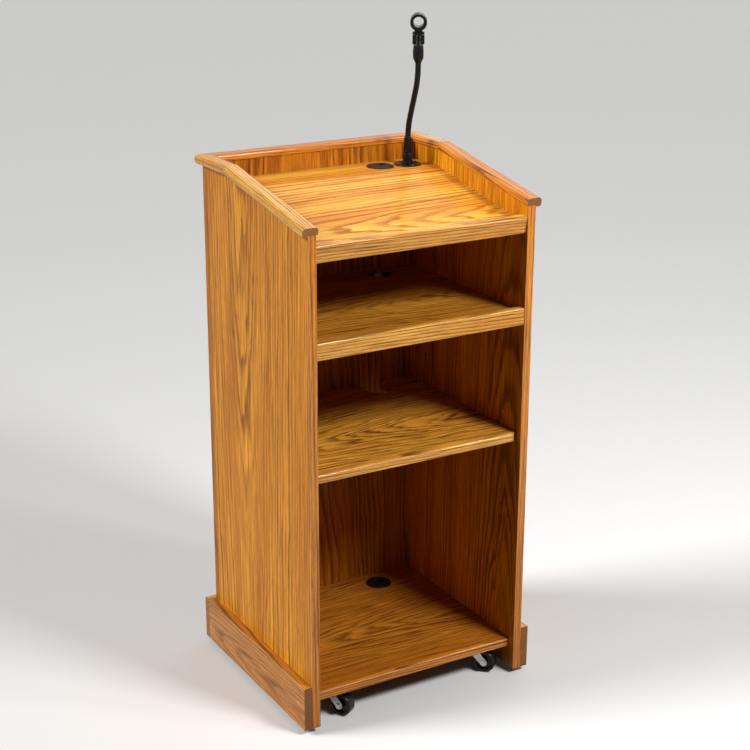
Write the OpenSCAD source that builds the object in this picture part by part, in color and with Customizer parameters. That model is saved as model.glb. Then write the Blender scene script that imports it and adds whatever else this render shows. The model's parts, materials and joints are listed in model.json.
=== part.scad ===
// Oak lectern on casters, with a sloped desk, three shelves and a gooseneck microphone holder.
// Millimetres, +Z up. The origin is on the floor, under the middle of the lectern's bounding box.
// +X is to the speaker's right, +Y points from the speaker to the audience.
// Inside the modules y is measured from the side panels' front edges, and z from the floor.

/* [Case] */
// Width over the two side panels
case_w = 531; // [480:1:600]
// Depth from the side panels' front edges to the back of the rear panel
case_d = 475; // [440:1:540]
// Thickness of the panels, shelves and desk boards
board_t = 19; // [17:0.5:21]
// Gap between the floor and the lower edges of the panels
floor_gap = 12; // [8:1:16]
// Height of the rear panel and of the level part of the side panels
rear_h = 1140; // [1090:1:1180]
// Drop of the side panels' front top corners below their level part
front_drop = 58; // [45:1:66]
// Depth of the level rear part of the side panels' tops
level_d = 131; // [115:1:145]
// Depth of the solid strips on the side panels' front edges
edging_d = 6; // [3:0.5:10]
// Depth of the side panels' grooves for the fixed boards
groove_d = 6; // [3:0.5:9]

/* [Cap rail] */
// Width of the cap rail
rail_w = 35; // [32:0.5:40]
// Height of the cap rail above the panels' tops
rail_h = 16; // [13:0.5:20]
// Overhang of the cap rail past the panels' inner faces
rail_inner = 3.5; // [2:0.5:6]
// Drop of the cap rail's outer lip below the panels' tops
rail_lip = 4; // [2:0.5:6]
// Radius of the cap rail's two upper edges
rail_round = 8; // [5:0.5:9]
// Reach of the cap rail past the side panels' front corners
rail_reach = 1; // [0:0.5:4]

/* [Desk] */
// Slope of the reading board in degrees
desk_slope = 10; // [7:0.5:12]
// Drop of the desk's level rear part below the panels' level tops
ledge_drop = 38; // [32:1:45]
// Depth of the desk's level rear part
ledge_d = 109; // [100:1:120]
// Rise of the book stop above the reading board
stop_rise = 17.5; // [12:0.5:22]
// Setback of the book stop's lower edge from the side panels' front edges
stop_setback = 7; // [5:0.5:12]

/* [Nosings] */
// Thickness of the book stop and of the upper shelf's nosing
nosing_t = 19; // [16:0.5:22]
// Radius of the upper edges of the stop and the nosing
nosing_round = 4; // [2:0.5:7]

/* [Upper shelf] */
// Height of the upper shelf's top face
upper_h = 855; // [830:1:880]
// Rise of the nosing above the upper shelf
upper_rise = 8; // [5:0.5:14]
// Drop of the nosing below the upper shelf
upper_drop = 9.5; // [5:0.5:14]
// Setback of the nosing from the side panels' front edges
upper_setback = 1.5; // [0:0.5:6]
// Diameter of the cable hole in the upper shelf
upper_hole_d = 53; // [40:1:60]

/* [Middle shelf] */
// Row of pin holes that carries the middle shelf, counted from 0 at the bottom
middle_row = 9; // [4:1:10]
// Setback of the middle shelf from the side panels' front edges
middle_setback = 14; // [8:1:30]
// Gap between the middle shelf and the panels round it
middle_gap = 2; // [1:0.5:4]
// Depth of the middle shelf's front edging
middle_edging = 19; // [14:1:30]
// Radius of the middle shelf's front corners in plan
middle_corner = 10; // [4:1:13]
// Radius of the middle shelf's upper front edge
middle_round = 7; // [3:0.5:9]
// Width of the cable notch in the middle shelf's rear edge
notch_w = 60; // [40:1:80]

/* [Shelf pins] */
// Height of the lowest row of pin holes
pin_first_h = 267; // [240:1:290]
// Distance between rows of pin holes
pin_pitch = 32; // [25:1:33]
// Number of rows of pin holes
pin_rows = 13; // [11:1:14]
// Distance of the pin holes from the panels' front edges and from the rear panel
pin_inset = 68; // [50:1:90]
// Diameter of the pin holes
pin_hole_d = 5; // [4:0.5:7]
// Depth of the pin holes
pin_hole_l = 10; // [8:0.5:13]
// Height of a pin's seat above its peg's centre line
pin_seat_rise = 6; // [4:0.5:9]
// Reach of a pin's seat under the shelf
pin_seat_l = 11; // [8:0.5:16]

/* [Bottom shelf] */
// Setback of the bottom shelf from the side panels' front edges
bottom_setback = 18; // [10:1:30]
// Depth of the bottom shelf's front edging
bottom_edging = 10; // [6:1:20]

/* [Cable grommets] */
// Distance of the cable holes from the right side panel
cable_side = 114.5; // [114:0.5:150]
// Distance of the cable holes from the rear panel
cable_back = 51; // [47:1:55]
// Diameter of a grommet's hole
grommet_hole_d = 51; // [45:1:54]
// Diameter of a grommet's flange
grommet_flange_d = 60.5; // [58:0.5:64]
// Thickness of a grommet's flange
grommet_flange_t = 2.2; // [1.5:0.1:3]
// Wall of a grommet's sleeve
grommet_wall = 2.4; // [1.5:0.1:3.5]
// Thickness of a grommet's cap
grommet_cap_t = 3; // [2:0.1:4]
// Width of the cable slot in a grommet's cap
grommet_slot_w = 13; // [9:0.5:18]
// Direction of a grommet's cable slot in degrees from +X
grommet_turn = 42; // [0:1:90]

/* [Base moulding] */
// Thickness of the base moulding
mould_t = 19; // [14:0.5:24]
// Height of the base moulding
mould_h = 99.5; // [70:0.5:140]
// Radius of the base moulding's upper outer edge
mould_round = 2.5; // [1:0.5:8]

/* [Microphone neck] */
// Distance of the neck from the right side panel
neck_side = 49.5; // [40:0.5:52]
// Distance of the neck from the rear panel
neck_back = 60.5; // [52:0.5:62]
// Diameter of the flexible neck
neck_d = 12.5; // [10:0.5:14]
// Height of the first bend above the desk
neck_base_h = 70; // [66:1:90]
// Length of each bending link of the neck
link_l = 29; // [26:0.5:34]
// Gap between two links' round ends at the bend
link_gap = 0.9; // [0.7:0.1:0.9]
// Length of the last link, up to the end collar
last_link_l = 20; // [18:0.5:30]
// Bend at each joint of the neck as it stands, in degrees towards the speaker
neck_bends = [10, 10, 0, 0, -10, -10];
// Diameter of the flange
flange_d = 60; // [56:0.5:60]
// Thickness of the flange
flange_t = 3; // [2:0.5:5]
// Diameter of the flange's raised hub
hub_d = 26; // [24:0.5:30]
// Height of the flange's hub
hub_h = 5; // [3:0.5:8]
// Radius of the circle of the flange's screws
flange_screw_r = 22; // [20:0.5:23]
// Diameter of the boot at its foot
boot_foot_d = 21.5; // [18:0.5:23]
// Diameter of the boot at its top
boot_top_d = 16; // [14.8:0.1:17]
// Height of the boot
boot_h = 55; // [45:1:57]

/* [Microphone clip] */
// Turn of the clip about the neck's end as it stands, in degrees
clip_turn = -32; // [-90:1:90]
// Diameter of the clip socket
socket_d = 23.4; // [22:0.2:26]
// Height of the socket's body
socket_h = 27.5; // [25:0.5:32]
// Height of the collar's cone below the socket
collar_h = 11; // [8:0.5:15]
// Diameter of the threaded stub in the socket
stub_d = 15.7; // [14.5:0.1:16]
// Length of the threaded stub
stub_l = 18; // [14:0.5:20]
// Width of the clip across its ears
ears_w = 26; // [23:0.5:30]
// Width of the socket's tongue between the ears
tongue_w = 7; // [5:0.5:9]
// Radius of the ears about the pivot
ear_r = 10.2; // [9.5:0.1:11]
// Diameter of the pivot screw
pivot_d = 5; // [4:0.5:6]
// Width of the clip's neck between its ears and its ring
clip_neck_w = 17; // [13:0.5:19]
// Height of the microphone bore's axis above the pivot
bore_rise = 39.3; // [38:0.1:42]
// Diameter of the bore that holds the microphone
mic_bore_d = 22.4; // [20:0.2:24]
// Outer diameter of the clip's ring
ring_d = 36; // [34:0.5:38]
// Drop of the ring's axis below the bore's axis
ring_drop = 1; // [0:0.5:2]
// Length of the clip's ring along the microphone
ring_l = 40; // [30:1:50]

/* [Casters] */
// Height of a caster from the floor to the top of its plate
caster_h = 63.5; // [62:0.5:70]
// Distance of the casters' kingpins from the side panels
caster_side = 63.5; // [56:0.5:90]
// Distance of the front casters' kingpins from the panels' front edges
caster_front = 66; // [64:1:90]
// Distance of the rear casters' kingpins from the rear panel
caster_rear = 66; // [64:1:90]
// Turn of each caster's fork in degrees from +X: front left, front right, rear left, rear right
caster_turns = [-62, -47, -52, -58];
// Diameter of a wheel
wheel_d = 50.8; // [48:0.2:51]
// Width of a wheel's tread
wheel_w = 22; // [18:0.5:24]
// Width over a wheel's hub
wheel_hub_w = 25; // [24.5:0.5:27]
// Distance from the kingpin to the wheel's axle
fork_trail = 27; // [24:0.5:28]
// Thickness of a fork's steel
fork_t = 2.4; // [2:0.1:3]
// Diameter of an axle
axle_d = 8; // [6:0.5:9]
// Diameter of a kingpin
kingpin_d = 10; // [8:0.5:12]
// Length of a caster's plate along X
plate_w = 50; // [48:1:60]
// Length of a caster's plate along Y
plate_l = 64; // [62:1:70]
// Thickness of a caster's plate
plate_t = 2.4; // [2:0.1:3]
// Spacing of a plate's screws along X
plate_hole_x = 35; // [33:0.5:38]
// Spacing of a plate's screws along Y
plate_hole_y = 49; // [47:0.5:52]

/* [Hidden] */

$fn = 72;
arc_steps = 8;
cut = 1;
far = 800;

oak_panel = [0.72, 0.46, 0.20];
oak_desk = [0.86, 0.62, 0.30];
oak_solid = [0.78, 0.52, 0.25];
black = [0.10, 0.10, 0.11];
zinc = [0.72, 0.72, 0.70];

// Clearance of a turning fit, on the radius
run_clear = 0.05;
// Clearance between faces that turn past each other
face_clear = 0.3;
// Clearance of a fixed peg, sleeve or shank in its hole, on the radius
fit_clear = 0.05;

// Case
inner_x = case_w / 2 - board_t;
back_y = case_d - board_t;
bend_y = case_d - level_d;
top_slope = atan(front_drop / bend_y);
slope_l = bend_y / cos(top_slope);
front_reach = rail_reach * cos(top_slope) + rail_h * sin(top_slope);
front_y = -(case_d + mould_t - front_reach) / 2;
rail_outer = rail_w - board_t - rail_inner;
lip_round = min(5, rail_outer / 2 - 1);
edge_round = 1.5;

// Desk
desk_h = rear_h - ledge_drop;
desk_bend_y = back_y - ledge_d;
mitre_back = board_t * tan(desk_slope / 2);
board_l = (desk_bend_y + board_t * sin(desk_slope) - stop_setback) / cos(desk_slope) - nosing_t;

// Shelves
middle_h = pin_first_h + middle_row * pin_pitch + pin_seat_rise;
middle_x = inner_x - middle_gap;
bottom_h = caster_h + board_t;
cable_y = back_y - cable_back;
seat_w = 12;
seat_t = 3;
pin_plate_t = 2;
pin_plate_drop = 4;
peg_r = pin_hole_d / 2 - fit_clear;
peg_end_gap = 1;

// Grommets
cable_x = inner_x - cable_side;
sleeve_r = grommet_hole_d / 2 - fit_clear;
sleeve_bore_r = sleeve_r - grommet_wall;
cap_rest = 1.6;
slot_end = 10;

// Microphone neck
neck_x = inner_x - neck_side;
neck_y = back_y - neck_back;
neck_r = neck_d / 2;
neck_hole_r = neck_r + fit_clear;
neck_root_l = 14;
screw_head_r = 4;
screw_shank_r = 2;
screw_l = 14;
ring_line_h = 18;
screw_head_h = 1.8;

// Microphone clip
stub_clear_l = 1;
pivot_h = socket_h + ear_r + face_clear + 0.5;
tongue_r = ear_r - 0.8;
pivot_r = pivot_d / 2;
pivot_head_r = pivot_r + 2.6;
pivot_head_l = 2.6;
ear_top = tongue_r + 1.6;
rib_h = 4;
rib_gap = 2;

// Casters
caster_x = inner_x - caster_side;
wheel_r = wheel_d / 2;
tread_t = 6.5;
crown_z = 2 * wheel_r + 1.8;
crown_top = crown_z + fork_t;
crown_r = 21;
leg_top_w = 26;
leg_in = wheel_hub_w / 2 + face_clear;
leg_out = leg_in + fork_t;
kingpin_r = kingpin_d / 2;
axle_r = axle_d / 2;
boss_r = 19;
boss_flare = 1.5;
boss_h = caster_h - plate_t - crown_top - face_clear;
rivet_t = 2;
race_r = 13.5;
ball_r = 1.5;
ball_clear = 0.1;
ball_count = 12;
plate_screw_r = 2.3;
plate_screw_l = 14;
plate_head_h = 2.4;
plate_head_r = 4.4;

// Height of the side panels' tops at a distance from the front
function top_z(y) = y > bend_y ? rear_h : rear_h - (bend_y - y) * tan(top_slope);
// Points along an arc from angle a0 to a1
function arc(c, r, a0, a1) = [for (i = [0:arc_steps]) c + r * [cos(a0 + (a1 - a0) * i / arc_steps),
                                                               sin(a0 + (a1 - a0) * i / arc_steps)]];
// Lean of the neck's link i, and the place [y, z] of its lower bend
function lean(i) = i < 1 ? 0 : lean(i - 1) + neck_bends[i - 1];
function bend_at(i) = i < 2 ? [neck_y, desk_h + neck_base_h]
                            : bend_at(i - 1) + link_l * [-sin(lean(i - 1)), cos(lean(i - 1))];
neck_end = bend_at(6) + last_link_l * [-sin(lean(6)), cos(lean(6))];
// Place [y, z] of a point of the sloped desk: a along the slope from its bend, b above its surface
function on_slope(a, b) = [desk_bend_y + a * cos(desk_slope) - b * sin(desk_slope),
                           desk_h + a * sin(desk_slope) + b * cos(desk_slope)];
// Kingpin of caster k, counted as in caster_turns
function caster_at(k) = [(k % 2 == 0 ? -1 : 1) * caster_x, k < 2 ? caster_front : back_y - caster_rear];

// Frames
module in_case() translate([0, front_y, 0]) children();
module along_x(x0, x1) translate([x0, 0, 0]) rotate([90, 0, 90]) linear_extrude(x1 - x0) children();
module on_desk() translate([0, desk_bend_y, desk_h]) rotate([desk_slope, 0, 0]) children();
module at_bend(i) translate([neck_x, bend_at(i)[0], bend_at(i)[1]]) rotate([lean(i), 0, 0]) children();
module at_clip() translate([neck_x, neck_end[0], neck_end[1]]) rotate([lean(6), 0, 0])
    translate([0, 0, collar_h + face_clear]) rotate([0, 0, clip_turn]) children();
module at_caster(k) translate([caster_at(k)[0], caster_at(k)[1], 0]) children();
module on_fork(k) at_caster(k) rotate([0, 0, caster_turns[k]]) children();
module on_axle(k) on_fork(k) translate([fork_trail, 0, wheel_r]) rotate([90, 0, 0]) children();
module both_sides() {
    children();
    mirror([1, 0, 0]) children();
}

// Case panels
module side_slab(y0, y1) {
    along_x(inner_x, case_w / 2) polygon(concat(
        [[y0, floor_gap], [y1, floor_gap], [y1, top_z(y1)]],
        y0 < bend_y && y1 > bend_y ? [[bend_y, rear_h]] : [],
        [[y0, top_z(y0)]]));
}

module pin_holes() {
    for (row = [0:pin_rows - 1], y = [pin_inset, back_y - pin_inset])
        translate([inner_x - cut, y, pin_first_h + row * pin_pitch]) rotate([0, 90, 0])
            cylinder(r = pin_hole_d / 2, h = pin_hole_l + cut);
}

module side_panel() {
    color(oak_panel) in_case() difference() {
        side_slab(edging_d, back_y);
        bottom_blank(cut);
        upper_blank(cut);
        desk_groove();
        pin_holes();
    }
}

module right_side_panel() side_panel();
module left_side_panel() mirror([1, 0, 0]) side_panel();
module right_front_edging() color(oak_solid) in_case() side_slab(0, edging_d);
module left_front_edging() color(oak_solid) mirror([1, 0, 0]) in_case() side_slab(0, edging_d);

module back_panel() {
    color(oak_panel) in_case() translate([-case_w / 2, back_y, floor_gap])
        cube([case_w, board_t, rear_h - floor_gap]);
}

// Desk
module in_grooves() along_x(-inner_x - groove_d, inner_x + groove_d) children();

// The groove for both desk boards, open at the rear
module desk_groove() {
    in_grooves() polygon([
        [back_y + cut, desk_h], [desk_bend_y, desk_h], on_slope(-board_l, 0), on_slope(-board_l, -board_t),
        [desk_bend_y + mitre_back, desk_h - board_t], [back_y + cut, desk_h - board_t]]);
}

module ledge_blank() {
    in_grooves() polygon([
        [desk_bend_y, desk_h], [desk_bend_y + mitre_back, desk_h - board_t],
        [back_y, desk_h - board_t], [back_y, desk_h]]);
}

module reading_board() {
    color(oak_desk) in_case() in_grooves() polygon([
        [desk_bend_y, desk_h], on_slope(-board_l, 0), on_slope(-board_l, -board_t),
        [desk_bend_y + mitre_back, desk_h - board_t]]);
}

module desk_ledge() {
    color(oak_desk) in_case() difference() {
        ledge_blank();
        translate([cable_x, cable_y, desk_h - board_t - cut])
            cylinder(r = grommet_hole_d / 2, h = board_t + 2 * cut);
        translate([neck_x, neck_y, desk_h - board_t - cut])
            cylinder(r = neck_hole_r, h = board_t + 2 * cut);
        flange_screw_places() flange_screw(fit_clear);
    }
}

// Outline of a front nosing of height h: its front face is at 0, its underside too
module nosing_outline(h) {
    polygon(concat(
        arc([edge_round, edge_round], edge_round, 270, 180),
        arc([nosing_round, h - nosing_round], nosing_round, 180, 90),
        arc([nosing_t - nosing_round, h - nosing_round], nosing_round, 90, 0),
        [[nosing_t, 0]]));
}

module book_stop() {
    color(oak_solid) in_case() on_desk() along_x(-inner_x, inner_x)
        translate([-board_l - nosing_t, -board_t]) nosing_outline(board_t + stop_rise);
}

// Upper shelf, longer at the rear by reach where it is drawn as a groove
module upper_blank(reach) {
    translate([-inner_x - groove_d, upper_setback + nosing_t, upper_h - board_t])
        cube([2 * (inner_x + groove_d), back_y - upper_setback - nosing_t + reach, board_t]);
}

module upper_shelf() {
    color(oak_desk) in_case() difference() {
        upper_blank(0);
        translate([cable_x, cable_y, upper_h - board_t - cut])
            cylinder(r = upper_hole_d / 2, h = board_t + 2 * cut);
    }
}

module upper_shelf_nosing() {
    color(oak_solid) in_case() along_x(-inner_x, inner_x)
        translate([upper_setback, upper_h - board_t - upper_drop])
            nosing_outline(upper_rise + board_t + upper_drop);
}

// Middle shelf
module middle_profile(y0, y1) {
    polygon(concat(
        y0 > middle_setback ? [[y0, 0]] : arc([y0 + edge_round, edge_round], edge_round, 270, 180),
        y0 > middle_setback ? [[y0, board_t]]
                            : arc([y0 + middle_round, board_t - middle_round], middle_round, 180, 90),
        [[y1, board_t], [y1, 0]]));
}

module middle_shelf() {
    color(oak_desk) in_case() translate([0, 0, middle_h]) difference() {
        along_x(-middle_x, middle_x)
            middle_profile(middle_setback + middle_edging, back_y - middle_gap);
        translate([cable_x, cable_y, -cut]) cylinder(r = notch_w / 2, h = board_t + 2 * cut);
        translate([cable_x - notch_w / 2, cable_y, -cut]) cube([notch_w, cable_back, board_t + 2 * cut]);
    }
}

module middle_shelf_edging() {
    corner_x = middle_x - middle_corner;
    corner_y = middle_setback + middle_corner;
    color(oak_solid) in_case() translate([0, 0, middle_h]) intersection() {
        along_x(-middle_x, middle_x) middle_profile(middle_setback, middle_setback + middle_edging);
        translate([0, 0, -cut]) linear_extrude(board_t + 2 * cut) polygon(concat(
            arc([-corner_x, corner_y], middle_corner, 180, 270),
            arc([corner_x, corner_y], middle_corner, 270, 360),
            [[middle_x, corner_y + middle_edging], [-middle_x, corner_y + middle_edging]]));
    }
}

module shelf_pin() {
    rotate([0, 90, 0]) cylinder(r = peg_r, h = pin_hole_l - peg_end_gap);
    translate([-pin_seat_l, -seat_w / 2, pin_seat_rise - seat_t]) cube([pin_seat_l, seat_w, seat_t]);
    translate([-pin_plate_t, -seat_w / 2, -pin_plate_drop])
        cube([pin_plate_t, seat_w, pin_seat_rise + pin_plate_drop]);
}

module shelf_pins() {
    color(zinc) in_case() both_sides() for (y = [pin_inset, back_y - pin_inset])
        translate([inner_x, y, pin_first_h + middle_row * pin_pitch]) shelf_pin();
}

// Bottom shelf, longer at the rear by reach where it is drawn as a groove
module bottom_blank(reach) {
    translate([-inner_x - groove_d, bottom_setback + bottom_edging, caster_h])
        cube([2 * (inner_x + groove_d), back_y - bottom_setback - bottom_edging + reach, board_t]);
}

module bottom_shelf() {
    color(oak_desk) in_case() difference() {
        bottom_blank(0);
        translate([cable_x, cable_y, caster_h - cut])
            cylinder(r = grommet_hole_d / 2, h = board_t + 2 * cut);
        caster_screw_places() translate([0, 0, -cut])
            cylinder(r = plate_screw_r + fit_clear, h = plate_screw_l + cut);
    }
}

module bottom_shelf_edging() {
    color(oak_solid) in_case() along_x(-inner_x, inner_x) translate([bottom_setback, caster_h])
        polygon(concat(
            arc([edge_round, edge_round], edge_round, 270, 180),
            arc([2 * edge_round, board_t - 2 * edge_round], 2 * edge_round, 180, 90),
            [[bottom_edging, board_t], [bottom_edging, 0]]));
}

// Cap rail: outline across the rail, from the panel's inner face outwards, 0 at the panel's top
module rail_outline() {
    polygon(concat(
        arc([2 - rail_inner, 2], 2, 270, 180),
        arc([rail_round - rail_inner, rail_h - rail_round], rail_round, 180, 90),
        arc([board_t + rail_outer - rail_round, rail_h - rail_round], rail_round, 90, 0),
        arc([board_t + rail_outer - lip_round, lip_round - rail_lip], lip_round, 0, -90),
        arc([board_t + edge_round, edge_round - rail_lip], edge_round, 270, 180),
        [[board_t, 0]]));
}

// Everything behind the mitre plane at the side panels' bend
module behind_bend() {
    translate([0, bend_y, rear_h]) rotate([top_slope / 2, 0, 0])
        translate([-far, 0, -far]) cube(2 * far);
}

// Everything on the outer side of the mitre plane at the rear right corner
module beside_corner() {
    translate([inner_x, back_y, 0]) rotate([0, 0, -45]) translate([0, -far, 0]) cube(2 * far);
}

module level_rail() {
    color(oak_solid) in_case() intersection() {
        translate([inner_x, case_d + rail_outer, rear_h]) rotate([90, 0, 0])
            linear_extrude(level_d + rail_outer + rail_w) rail_outline();
        behind_bend();
        beside_corner();
    }
}

module sloped_rail() {
    color(oak_solid) in_case() difference() {
        translate([inner_x, bend_y, rear_h]) rotate([90 + top_slope, 0, 0])
            translate([0, 0, -rail_w]) linear_extrude(slope_l + rail_reach + rail_w) rail_outline();
        behind_bend();
    }
}

module right_level_rail() level_rail();
module left_level_rail() mirror([1, 0, 0]) level_rail();
module right_sloped_rail() sloped_rail();
module left_sloped_rail() mirror([1, 0, 0]) sloped_rail();

module rear_cap_rail() {
    rear_l = case_w + 2 * rail_outer;
    color(oak_solid) in_case() difference() {
        translate([-rear_l / 2, back_y, rear_h]) rotate([90, 0, 90]) linear_extrude(rear_l)
            rail_outline();
        both_sides() beside_corner();
    }
}

// Base moulding: outline across the moulding, its inner face at 0
module mould_outline() {
    polygon(concat(
        [[0, 0], [mould_t, 0]],
        arc([mould_t - mould_round, mould_h - mould_round], mould_round, 0, 90),
        [[0, mould_h]]));
}

module side_moulding() {
    color(oak_solid) in_case() translate([case_w / 2, case_d, floor_gap]) rotate([90, 0, 0])
        linear_extrude(case_d) mould_outline();
}

module right_base_moulding() side_moulding();
module left_base_moulding() mirror([1, 0, 0]) side_moulding();

module rear_base_moulding() {
    color(oak_solid) in_case() along_x(-case_w / 2 - mould_t, case_w / 2 + mould_t)
        translate([case_d, floor_gap]) mould_outline();
}

// Cable grommets, drawn about the hole's axis with 0 at the board's top face
module grommet_sleeve(flange_r) {
    color(black) rotate_extrude() polygon([
        [sleeve_bore_r, grommet_flange_t], [flange_r - 1, grommet_flange_t],
        [flange_r, grommet_flange_t - 1], [flange_r, 0], [sleeve_r, 0],
        [sleeve_r, 1 - board_t], [sleeve_bore_r - cap_rest, 1 - board_t],
        [sleeve_bore_r - cap_rest, grommet_flange_t - grommet_cap_t],
        [sleeve_bore_r, grommet_flange_t - grommet_cap_t]]);
}

module grommet_cap() {
    color(black) translate([0, 0, grommet_flange_t - grommet_cap_t]) rotate([0, 0, grommet_turn])
        difference() {
            cylinder(r = sleeve_bore_r - run_clear, h = grommet_cap_t);
            translate([slot_end, 0, -cut])
                cylinder(r = grommet_slot_w / 2, h = grommet_cap_t + 2 * cut);
            translate([slot_end, -grommet_slot_w / 2, -cut])
                cube([grommet_hole_d, grommet_slot_w, grommet_cap_t + 2 * cut]);
        }
}

module desk_grommet_sleeve()
    in_case() translate([cable_x, cable_y, desk_h]) grommet_sleeve(grommet_flange_d / 2);
module desk_grommet_cap() in_case() translate([cable_x, cable_y, desk_h]) grommet_cap();
module floor_grommet_sleeve()
    in_case() translate([cable_x, cable_y, bottom_h]) grommet_sleeve(grommet_flange_d / 2);
module floor_grommet_cap() in_case() translate([cable_x, cable_y, bottom_h]) grommet_cap();

// Microphone neck
module flange_screw_places() {
    for (i = [0:2]) translate([neck_x, neck_y, desk_h]) rotate([0, 0, 30 + 120 * i])
        translate([flange_screw_r, 0, 0]) children();
}

// A countersunk screw, or its hole when it is drawn with a clearance
module flange_screw(clear) {
    translate([0, 0, flange_t - screw_l - clear])
        cylinder(r = screw_shank_r + clear, h = screw_l + 2 * clear);
    translate([0, 0, flange_t - screw_head_h])
        cylinder(r1 = screw_shank_r + clear, r2 = screw_head_r + clear, h = screw_head_h);
    translate([0, 0, flange_t]) cylinder(r = screw_head_r + clear, h = clear);
}

module neck_flange() {
    color(black) in_case() difference() {
        translate([neck_x, neck_y, desk_h]) rotate_extrude() polygon([
            [neck_hole_r, 0], [flange_d / 2, 0], [flange_d / 2, flange_t - 1.2],
            [flange_d / 2 - 1.2, flange_t], [hub_d / 2, flange_t], [hub_d / 2, flange_t + hub_h - 1],
            [hub_d / 2 - 1, flange_t + hub_h], [neck_hole_r, flange_t + hub_h]]);
        flange_screw_places() flange_screw(fit_clear);
    }
}

module flange_screws() color(zinc) in_case() flange_screw_places() flange_screw(0);

module neck_boot() {
    groove_r = boot_foot_d / 2 - 1.2;
    color(black) in_case() translate([neck_x, neck_y, desk_h + flange_t + hub_h]) rotate_extrude()
        polygon([
            [neck_hole_r, 0], [boot_foot_d / 2, 0], [boot_foot_d / 2, ring_line_h - 1],
            [groove_r, ring_line_h], [boot_foot_d / 2 - 0.4, ring_line_h + 1],
            [boot_top_d / 2, boot_h - 1], [boot_top_d / 2 - 0.8, boot_h], [neck_hole_r, boot_h]]);
}

module neck_root() {
    top = neck_base_h - link_gap / 2;
    color(black) in_case() translate([neck_x, neck_y, desk_h]) rotate_extrude() polygon(concat(
        [[0, -neck_root_l], [neck_r, -neck_root_l]], arc([0, top - neck_r], neck_r, 0, 90)));
}

module neck_link(i) {
    low = link_gap / 2 + neck_r;
    high = link_l - link_gap / 2 - neck_r;
    top = i < 6 ? arc([0, high], neck_r, 0, 90) : [[neck_r, last_link_l], [0, last_link_l]];
    color(black) in_case() at_bend(i) rotate_extrude()
        polygon(concat(arc([0, low], neck_r, -90, 0), top));
}

module neck_link_1() neck_link(1);
module neck_link_2() neck_link(2);
module neck_link_3() neck_link(3);
module neck_link_4() neck_link(4);
module neck_link_5() neck_link(5);
module neck_link_6() neck_link(6);

module neck_end_collar() {
    color(black) in_case() at_bend(6) translate([0, 0, last_link_l]) rotate_extrude() polygon([
        [0, 0], [neck_r, 0], [neck_r + 0.3, 0.5], [socket_d / 2 - 0.4, collar_h - 1],
        [socket_d / 2 - 0.4, collar_h], [stub_d / 2, collar_h], [stub_d / 2, collar_h + stub_l],
        [0, collar_h + stub_l]]);
}

// Microphone clip, drawn with 0 at the socket's lower face and the ring facing -Y
module clip_socket() {
    color(black) in_case() at_clip() difference() {
        union() {
            rotate_extrude() polygon([
                [0, 0], [socket_d / 2 - 0.8, 0], [socket_d / 2, 1], [socket_d / 2, socket_h * 0.6],
                [socket_d / 2 - 1.3, socket_h], [0, socket_h]]);
            translate([-tongue_w / 2, -tongue_r, socket_h - cut])
                cube([tongue_w, 2 * tongue_r, pivot_h - socket_h + cut]);
            translate([-tongue_w / 2, 0, pivot_h]) rotate([0, 90, 0])
                cylinder(r = tongue_r, h = tongue_w);
        }
        translate([0, 0, -cut])
            cylinder(r = stub_d / 2 + run_clear, h = stub_l + stub_clear_l + cut);
        translate([0, 0, stub_l / 2]) rotate([90, 0, 0]) cylinder(r = 1.8, h = socket_d);
        translate([-tongue_w, 0, pivot_h]) rotate([0, 90, 0])
            cylinder(r = pivot_r + fit_clear, h = 2 * tongue_w);
    }
}

module clip_ears() {
    ear_in = tongue_w / 2 + face_clear;
    ear_t = ears_w / 2 - ear_in;
    both_sides() translate([ear_in, 0, 0]) {
        rotate([0, 90, 0]) cylinder(r = ear_r, h = ear_t);
        translate([0, -ear_r, 0]) cube([ear_t, 2 * ear_r, ear_top]);
    }
}

module microphone_clip() {
    neck_low = tongue_r + 1;
    color(black) in_case() at_clip() translate([0, 0, pivot_h]) difference() {
        union() {
            clip_ears();
            translate([-ears_w / 2, -ear_r, ear_top + rib_gap]) cube([ears_w, 2 * ear_r, rib_h]);
            translate([-clip_neck_w / 2, 2 - ear_r, neck_low])
                cube([clip_neck_w, 2 * ear_r - 4, bore_rise - mic_bore_d / 2 - neck_low]);
            translate([0, ring_l / 2, bore_rise - ring_drop]) rotate([90, 0, 0])
                cylinder(r = ring_d / 2, h = ring_l);
        }
        translate([0, ring_l / 2 + cut, bore_rise]) rotate([90, 0, 0])
            cylinder(r = mic_bore_d / 2, h = ring_l + 2 * cut);
        translate([-ears_w, 0, 0]) rotate([0, 90, 0])
            cylinder(r = pivot_r + run_clear, h = 2 * ears_w);
        both_sides() translate([ears_w / 2 - pivot_head_l, 0, 0]) rotate([0, 90, 0])
            cylinder(r = pivot_head_r + face_clear, h = pivot_head_l + cut);
    }
}

module clip_pivot_screw() {
    head_in = ears_w / 2 - pivot_head_l;
    color(zinc) in_case() at_clip() translate([0, 0, pivot_h]) rotate([0, 90, 0]) {
        translate([0, 0, -head_in]) cylinder(r = pivot_r, h = 2 * head_in);
        for (side = [0, 1]) mirror([0, 0, side]) translate([0, 0, head_in])
            cylinder(r = pivot_head_r, h = pivot_head_l - 0.4);
    }
}

// Casters
module race(z) {
    translate([0, 0, z]) rotate_extrude() translate([race_r, 0]) circle(r = ball_r + ball_clear);
}

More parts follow.
